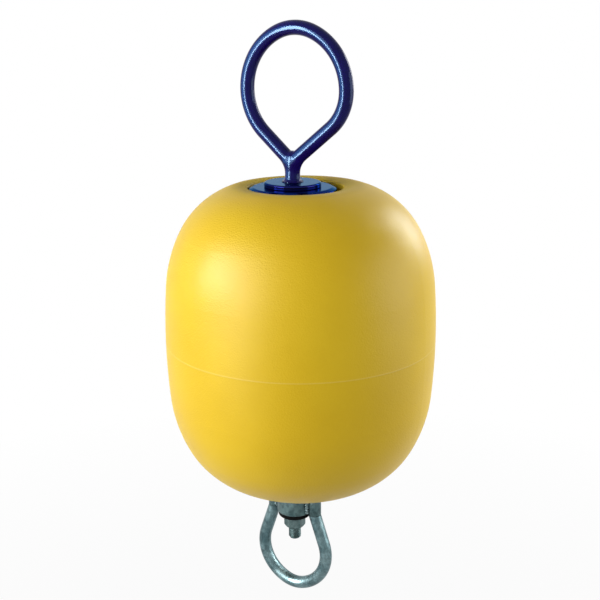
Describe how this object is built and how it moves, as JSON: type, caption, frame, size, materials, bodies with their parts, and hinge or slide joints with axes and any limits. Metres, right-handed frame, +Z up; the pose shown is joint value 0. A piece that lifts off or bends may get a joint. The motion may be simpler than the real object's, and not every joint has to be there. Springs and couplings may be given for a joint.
{
  "type": "mooring buoy",
  "caption": "Barrel-shaped moulded float on a steel through rod, with a dip-coated pick-up ring above, flanges in end recesses, and a swivelling pear-shaped bow below.",
  "frame": {"origin": "on the rod's axis at the height of the float's moulding seam, which is taken as the waterline", "axes": "+Z up the rod, towards the pick-up ring; the ring and the bow lie in the XZ plane; +X to the side the float has shifted to"},
  "size_m": [0.3699, 0.37, 0.819],
  "materials": {
    "float_skin": "fine orange-peel grain, satin",
    "blue_coat": "glossy dipped plastic coating",
    "galvanised": "hot-dip galvanised, dull grey",
    "black_rubber": "matt"
  },
  "bodies": {
    "buoy": {"float_body": "float_skin", "rod": "galvanised", "upper_flange": "blue_coat", "upper_disc": "blue_coat", "top_ring": "blue_coat", "lower_flange": "galvanised", "thrust_washer": "galvanised", "flat_washer": "galvanised", "hex_nut": "galvanised"},
    "swivel": {"swivel_hub": "galvanised", "swivel_bow": "galvanised", "soft_washer": "black_rubber"}
  },
  "joints": [
    {"name": "swivel_spin", "type": "hinge", "parent": "buoy", "child": "swivel", "pos_m": [0, 0, -0.2413], "axis": [0, 0, 1], "continuous": true}
  ]
}
